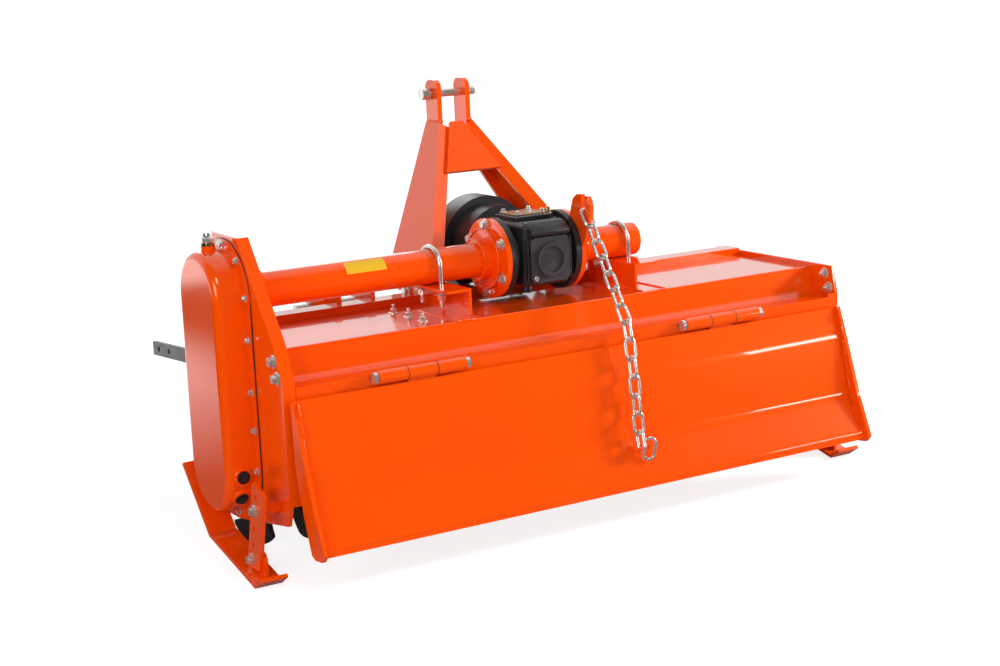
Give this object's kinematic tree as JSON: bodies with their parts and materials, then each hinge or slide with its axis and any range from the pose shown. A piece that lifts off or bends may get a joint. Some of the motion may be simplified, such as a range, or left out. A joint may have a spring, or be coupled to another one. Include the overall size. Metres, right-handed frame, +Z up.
{
  "type": "rotary tiller",
  "caption": "Tractor-mounted rotary tiller with a side chain drive, a three-point mast, a bladed rotor under a hood, skids and a hinged rear flap on a chain.",
  "frame": {"origin": "middle of the footprint of the whole machine, on the ground", "axes": "+X to the right seen from behind, along the rotor; +Y forward, towards the tractor; +Z up"},
  "size_m": [1.563, 0.792, 0.935],
  "materials": {
    "orange_paint": "gloss",
    "black_casting": "satin",
    "black_plastic": "matte",
    "bright_steel": "satin",
    "zinc_plate": "satin",
    "brass": "satin",
    "black_paint": "satin"
  },
  "bodies": {
    "frame": {"chain_case_cover": "orange_paint", "chain_case_plugs": "black_plastic", "chain_hook": "orange_paint", "cross_tube": "orange_paint", "front_rail": "orange_paint", "gearbox_breather": "brass", "gearbox_housing": "black_casting", "gearbox_rear_cover": "black_casting", "gearbox_top_cover": "black_casting", "hinge_pins": "zinc_plate", "hood": "orange_paint", "hood_knuckles": "orange_paint", "left_lower_hitch": "orange_paint", "left_lower_pin": "zinc_plate", "left_mast_leg": "orange_paint", "left_side_plate": "orange_paint", "left_skid": "orange_paint", "left_skid_bracket": "orange_paint", "left_skid_strut": "orange_paint", "left_tube_bracket": "orange_paint", "left_u_bolt": "zinc_plate", "mast_cross_plate": "orange_paint", "pto_shield": "black_plastic", "right_lower_hitch": "orange_paint", "right_lower_pin": "zinc_plate", "right_mast_leg": "orange_paint", "right_side_plate": "orange_paint", "right_skid": "orange_paint", "right_skid_bracket": "orange_paint", "right_skid_strut": "orange_paint", "right_tube_bracket": "orange_paint", "right_u_bolt": "zinc_plate", "rotor_bearings": "black_casting", "side_bar": "zinc_plate", "stub_tube": "orange_paint", "top_link_ears": "orange_paint", "top_link_pin": "zinc_plate", "upper_chain": "zinc_plate"},
    "rotor": {"rotor_tube": "black_paint", "rotor_flanges": "black_paint", "left_hand_blades": "black_paint", "right_hand_blades": "black_paint"},
    "input": {"input_shaft": "bright_steel"},
    "flap": {"flap": "orange_paint", "flap_knuckles": "orange_paint", "flap_end_plates": "orange_paint", "flap_chain_lug": "orange_paint", "lower_chain": "zinc_plate"}
  },
  "joints": [
    {"name": "rotor_spin", "type": "hinge", "parent": "frame", "child": "rotor", "pos_m": [0.0045, -0.032, 0.205], "axis": [1, 0, 0], "continuous": true},
    {"name": "input_spin", "type": "hinge", "parent": "frame", "child": "input", "pos_m": [0.0155, 0.118, 0.558], "axis": [0, 1, 0], "continuous": true},
    {"name": "flap_hinge", "type": "hinge", "parent": "frame", "child": "flap", "pos_m": [0.0045, -0.282, 0.395], "axis": [-1, 0, 0], "range_deg": [0, 45]}
  ],
  "couplings": [
    {"joint": "input_spin", "follows": "rotor_spin", "ratio": 2.5}
  ]
}
